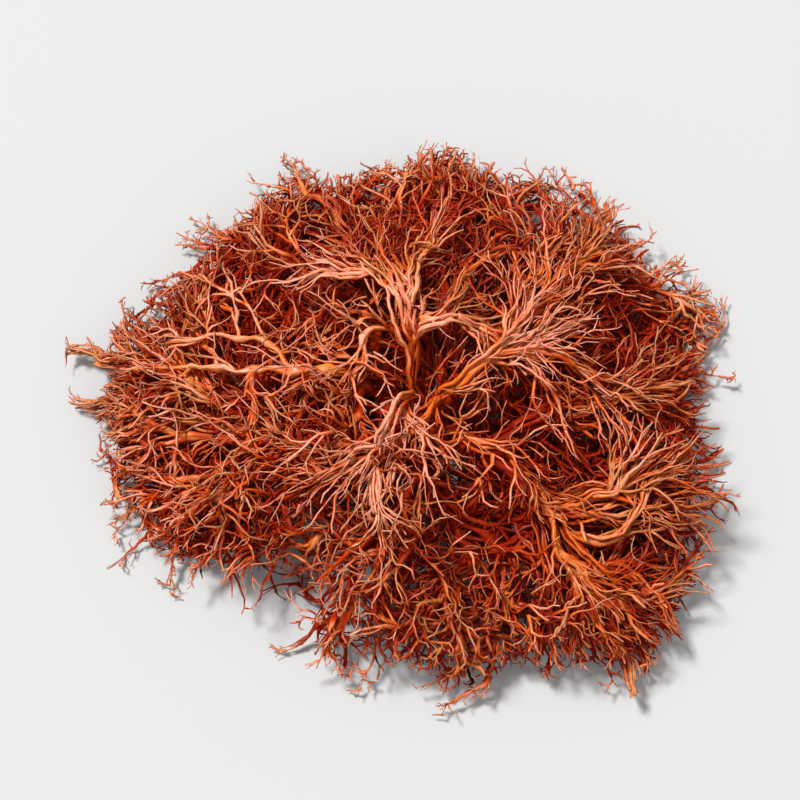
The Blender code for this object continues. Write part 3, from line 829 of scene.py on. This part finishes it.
def spray_sweeps(spray):
    """All that one spray is made of, swept."""
    layer = spray.name.split("_")[0]
    apart, narrow = TWIGS_APART[layer], 1.0
    forks = np.array([tuple(strand.points[0]) for strand in spray.strands])
    if spray.habit is BROOM:
        apart, narrow = apart * BROOM_APART, BROOM_NARROW
    sweeps, starts, tones = [], [], []
    for strand in spray.strands:
        path, thick = strand_line(strand, forks)
        tone = np.clip(draw.normal(TONE, TONE_SPREAD, 1), 0, 1)
        age = np.clip(strand.order * AGE_BY_ORDER + np.linspace(0, AGE_ALONG, len(path)), 0, 1)[None]
        lines = [path]
        if spray.habit is BROOM and len(path) > LEAST_BESIDE * PER_STEP:
            thick *= SPLIT
            lines += list(beside(path))
            thin = draw.uniform(*BESIDE_RADIUS, (BESIDE, 1)) * np.linspace(1, BESIDE_TAPER, len(path))
            beside_tones = np.clip(tone + draw.normal(0, TONE_BESIDE, BESIDE), 0, 1)
            beside_age = np.repeat(age, BESIDE, axis=0)
            sweeps.append(swept(np.array(lines[1:]), thin, BESIDE_SIDES, beside_tones, beside_age))
        sweeps.append(swept(path[None], thick[None], STRAND_SIDES[strand.order], tone, age))
        for line in lines:
            starts.append(twig_starts(line, apart, LEAST_FULL[layer]))
            tones.append(np.full(len(starts[-1][0]), tone[0]))
    starts, tones = [np.concatenate(part) for part in zip(*starts)], np.concatenate(tones)
    hairy = draw.random(len(tones)) < HAIR_SHARE
    hairs, thick, _ = twigs(*(part[hairy] for part in starts), HAIR, 1.0, 1.0)
    straw = np.full(len(hairs), STRAW_TONE)
    sweeps.append(swept(hairs, thick, TWIG_SIDES[layer][HAIR], straw, np.ones(thick.shape)))
    for generation in range(HAIR):
        paths, thick, forks = twigs(*starts, generation, narrow, TWIG_STOUT[layer])
        tones = np.clip(tones + draw.normal(0, TONE_SPREAD, len(tones)), 0, 1)
        shown = np.where(draw.random(len(tones)) < DEAD_SHARE, DEAD_TONE, tones)
        age = TWIG_AGE + TWIG_AGE_BY_ORDER * generation + np.linspace(0, TWIG_AGE_ALONG, paths.shape[1])
        age = np.broadcast_to(np.clip(age, 0, 1), paths.shape[:2])
        sweeps.append(swept(paths, thick, TWIG_SIDES[layer][generation], shown, age))
        tones, starts = tones[forks[0]], forks[1:]
    return sweeps


def top_over(points, cell, rounds):
    """The tuft's height over each point, by square cells, levelled with their neighbours this many times."""
    at = np.round((points[:, :2] - points[:, :2].min(axis=0)) / cell).astype(int)
    size = at.max(axis=0) + 1
    top = np.zeros(size)
    np.maximum.at(top, tuple(at.T), points[:, 2])
    for _ in range(rounds):
        padded = np.pad(top, 1, mode="edge")
        top = sum(padded[i : i + size[0], j : j + size[1]] for i in range(3) for j in range(3)) / 9
    return top[tuple(at.T)]


def depths(points):
    """How far each point is down in the tuft: 0 at the top, 1 where it is deep."""
    broad = (top_over(points, BROAD_CELL, BROAD_ROUNDS) - points[:, 2]) / BROAD_DEEP
    fine = (top_over(points, FINE_CELL, FINE_ROUNDS) - points[:, 2]) / FINE_DEEP
    return BROAD_SHARE * np.clip(broad, 0, 1) + FINE_SHARE * np.clip(fine, 0, 1)


# The depth of each point in the tuft, which the finish turns into painted shade and uses to fade the shine.
all_sweeps = [spray_sweeps(spray) for spray in sprays]
all_depths = depths(np.concatenate([sweep["points"] for sweeps in all_sweeps for sweep in sweeps]))
for spray, sweeps in zip(sprays, all_sweeps):
    name, count = spray.name + "_strands", sum(len(sweep["points"]) for sweep in sweeps)
    piece = bpy.data.objects.new(name, joined_mesh(name, sweeps, all_depths[:count]))
    all_depths = all_depths[count:]
    bpy.context.scene.collection.objects.link(piece)
    piece.data.materials.append(thallus_material)
    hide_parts(spray.name)
    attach(piece, "root")

# The holdfast, the woody lump that gripped the bark: dark, cracked and rough, and flat underneath where it
# was torn off. The stems stand in it.
BARK = (0.035, 0.014, 0.008, 1)
BARK_EDGE = (0.16, 0.07, 0.035, 1)
wood = Finish("holdfast_wood")
grainy = wood.node("ShaderNodeTexCoord", {}, {}, "Object")
lumps = wood.noise(grainy, 260, 5.0, 0.65)
pits = wood.noise(grainy, 1300, 3.0, 0.6)
wood_colour = wood.mixed((lumps * 0.8 + pits * 0.3).rising(0.45, 0.75), BARK, BARK_EDGE)
rough = wood.node("ShaderNodeBump", {}, {"Strength": 0.8, "Distance": 0.0005, "Height": lumps + pits * 0.4})
wood_material = wood.finish(Base_Color=wood_colour, Roughness=0.7 + 0.2 * pits, Normal=rough)
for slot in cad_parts["holdfast"].material_slots:
    slot.material = wood_material

# The table that the tuft lies on, plain and pale, and soft studio light: a key from behind on the left, a
# weak fill from the front on the right, and a white sky. The camera looks down at them.
CAMERA_CLIMB = 73  # degrees
LENS = 85
SENSOR = 36
FILL = 0.9  # of the picture's width, by the tuft's length
TABLE_SIZE = 30
SKY = 0.5
bpy.ops.mesh.primitive_plane_add(size=TABLE_SIZE)
table = bpy.context.object
table.name = "table"
pale = Finish("pale_table")
table.data.materials.append(pale.finish(Base_Color=(0.47, 0.47, 0.465, 1), Roughness=0.75))


def add_light(name, strength, spread, place):
    light = bpy.data.objects.new(name, bpy.data.lights.new(name, "SUN"))
    light.data.energy, light.data.angle = strength, spread
    light.rotation_euler = (-Vector(place)).to_track_quat("-Z", "Y").to_euler()
    bpy.context.scene.collection.objects.link(light)


add_light("key", 4.45, 0.2, (-0.4, 0.35, 0.8))
add_light("fill", 0.4, 0.9, (0.7, -0.6, 0.7))
world = bpy.data.worlds.new("studio")
world.use_nodes = True
world.node_tree.nodes["Background"].inputs["Color"].default_value = (1, 1, 1, 1)
world.node_tree.nodes["Background"].inputs["Strength"].default_value = SKY
bpy.context.scene.world = world
bpy.context.scene.view_settings.view_transform = "Standard"

low, high = (Vector(corner) for corner in cad_box)
middle = (low + high) / 2
climb = math.radians(CAMERA_CLIMB)
back = Vector((0, -math.cos(climb), math.sin(climb)))
camera = bpy.data.objects.new("camera", bpy.data.cameras.new("camera"))
camera.data.lens, camera.data.sensor_width = LENS, SENSOR
camera.location = middle + back * ((high.x - low.x) / FILL * LENS / SENSOR + (high.z - low.z) / 2)
camera.rotation_euler = (-back).to_track_quat("-Z", "Y").to_euler()
bpy.context.scene.collection.objects.link(camera)
bpy.context.scene.camera = camera
